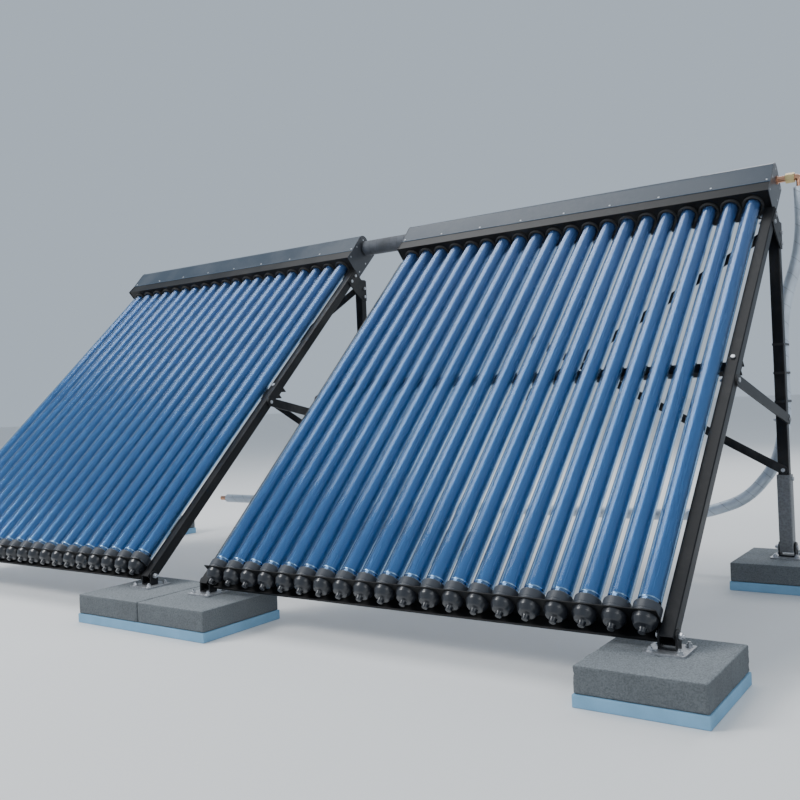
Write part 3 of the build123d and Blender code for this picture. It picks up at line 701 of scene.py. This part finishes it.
def worn_slab(shape, low, high):
    """Add a paver with worn, slightly chipped edges."""
    slab = bmesh.new()
    spot = Matrix.Translation((low + high) / 2) @ Matrix.Diagonal((*(high - low), 1))
    bmesh.ops.create_cube(slab, size=1, matrix=spot)
    bmesh.ops.bevel(slab, geom=slab.edges[:], offset=5 * MM, segments=3, profile=0.5,
                    affect="EDGES", material=-1)
    long_edges = [e for e in slab.edges if e.calc_length() > 40 * MM]
    bmesh.ops.subdivide_edges(slab, edges=long_edges, cuts=26, use_grid_fill=True)
    centre = (low + high) / 2
    for vertex in slab.verts:
        inward = (centre - vertex.co).normalized()
        chip = max(0.0, noise.fractal(vertex.co * 34, 0.8, 2.1, 4) - 0.1)
        vertex.co += inward * chip * 3.5 * MM
    whole = bpy.data.meshes.new("slab")
    slab.to_mesh(whole)
    slab.free()
    shape.from_mesh(whole)
    bpy.data.meshes.remove(whole)


class HEATER_OT_pipework(bpy.types.Operator):
    """Link pipe, return line, their wraps, unions, ties and hanger"""
    bl_idname = "heater.pipework"
    bl_label = "Pipework"

    def execute(self, context):
        sizes, colours = context.scene.heater_sizes, context.scene.heater_colours
        copper = metal("line copper", (0.72, 0.38, 0.24), 0.25)
        tape = wrapped("link tape", colours.tape, shade(colours.tape, 2.0), sizes.wrap_pitch,
                       (1, 0.35, 0), 0.0, 0.5)
        foil = wrapped("foil sleeve", shade(colours.foil, 0.8), colours.foil, sizes.wrap_pitch * 1.6,
                       (0.8, 0.3, 1), 0.35, 0.25)
        brass = metal("union brass", (0.7, 0.56, 0.28), 0.25)
        dressed("link_pipe", copper)
        dressed("return_pipe", copper)
        dressed("link_lagging", tape, 3 * sizes.edge_round)
        dressed("return_lagging", foil, 2 * sizes.edge_round)
        dressed("port_unions", brass, sizes.edge_round)
        tie = moulded("tie nylon", (0.015, 0.015, 0.016), 0.4)
        dressed("cable_ties", tie, 0.4 * sizes.edge_round)
        dressed("pipe_hanger", galvanised("hanger zinc", colours.zinc),
                0.6 * sizes.edge_round)
        return {"FINISHED"}


class HEATER_OT_studio(bpy.types.Operator):
    """Pale floor, soft lights and the camera"""
    bl_idname = "heater.studio"
    bl_label = "Studio"

    def execute(self, context):
        scene, colours = context.scene, context.scene.heater_colours
        floor = bmesh.new()
        bmesh.ops.create_grid(floor, x_segments=1, y_segments=1, size=60)
        mesh = bpy.data.meshes.new("floor")
        floor.to_mesh(mesh)
        floor.free()
        ground = bpy.data.objects.new("floor", mesh)
        scene.collection.objects.link(ground)
        pale = Finish("studio floor", IOR=1.4)
        cloud = pale.noise(1.2, 3.0)
        pale.put("Base Color", pale.mix(cloud, shade(colours.floor, 0.97), colours.floor))
        pale.put("Roughness", 0.75 + 0.1 * cloud)
        mesh.materials.append(pale.material)
        world = bpy.data.worlds.new("studio")
        world.use_nodes = True
        background = world.node_tree.nodes["Background"]
        background.inputs["Color"].default_value = (0.74, 0.86, 1.0, 1)
        background.inputs["Strength"].default_value = 0.62
        scene.world = world
        soft_light(scene, "key", (-4.5, -5.0, 5.5), (0, 0, 0.6), 3.0, 420)
        soft_light(scene, "fill", (5.5, -4.0, 3.2), (0, 0, 0.7), 3.0, 60)
        soft_light(scene, "back", (1.5, 5.5, 4.5), (0, 0, 0.9), 3.5, 140)
        soft_light(scene, "top", (-1.5, 0.5, 6.0), (0, 0, 0.6), 4.0, 190)
        data = bpy.data.cameras.new("camera")
        data.sensor_width = 36
        data.lens = 40.14
        camera = bpy.data.objects.new("camera", data)
        scene.collection.objects.link(camera)
        heading, pitch, roll = radians(34.82), radians(0.06), radians(-2.46)
        turn = Matrix.Rotation(heading, 4, "Z") @ Matrix.Rotation(pi / 2 + pitch, 4, "X")
        turn = turn @ Matrix.Rotation(roll, 4, "Z")
        camera.matrix_world = Matrix.Translation((2.3614, -2.6615, 0.6992)) @ turn
        scene.camera = camera
        return {"FINISHED"}


def soft_light(scene, name, place, target, size, power):
    """A square area light aimed at a point."""
    data = bpy.data.lights.new(name, "AREA")
    data.size = size
    data.energy = power
    light = bpy.data.objects.new(name, data)
    scene.collection.objects.link(light)
    aim = (Vector(target) - Vector(place)).to_track_quat("-Z", "Y")
    light.matrix_world = Matrix.Translation(place) @ aim.to_matrix().to_4x4()


OPERATORS = (HEATER_OT_glass, HEATER_OT_absorbers, HEATER_OT_cups, HEATER_OT_manifolds,
             HEATER_OT_stand, HEATER_OT_fixings, HEATER_OT_footings, HEATER_OT_pipework,
             HEATER_OT_studio)


class HEATER_PT_panel(bpy.types.Panel):
    """Sizes, colours and pieces of the solar heater"""
    bl_idname = "HEATER_PT_panel"
    bl_label = "Solar heater"
    bl_space_type = "VIEW_3D"
    bl_region_type = "UI"
    bl_category = "Solar heater"

    def draw(self, context):
        for settings in (context.scene.heater_sizes, context.scene.heater_colours):
            column = self.layout.column(align=True)
            for name in settings.bl_rna.properties.keys():
                if name not in {"rna_type", "name"}:
                    column.prop(settings, name)
        for operator in OPERATORS:
            self.layout.operator(operator.bl_idname)


CLASSES = (HeaterSizes, HeaterColours, *OPERATORS, HEATER_PT_panel)


def register():
    for made in CLASSES:
        bpy.utils.register_class(made)
    bpy.types.Scene.heater_sizes = bpy.props.PointerProperty(type=HeaterSizes)
    bpy.types.Scene.heater_colours = bpy.props.PointerProperty(type=HeaterColours)


def unregister():
    del bpy.types.Scene.heater_colours
    del bpy.types.Scene.heater_sizes
    for made in reversed(CLASSES):
        bpy.utils.unregister_class(made)


def main():
    register()
    for operator in OPERATORS:
        family, name = operator.bl_idname.split(".")
        getattr(getattr(bpy.ops, family), name)()


if __name__ == "__main__":
    main()
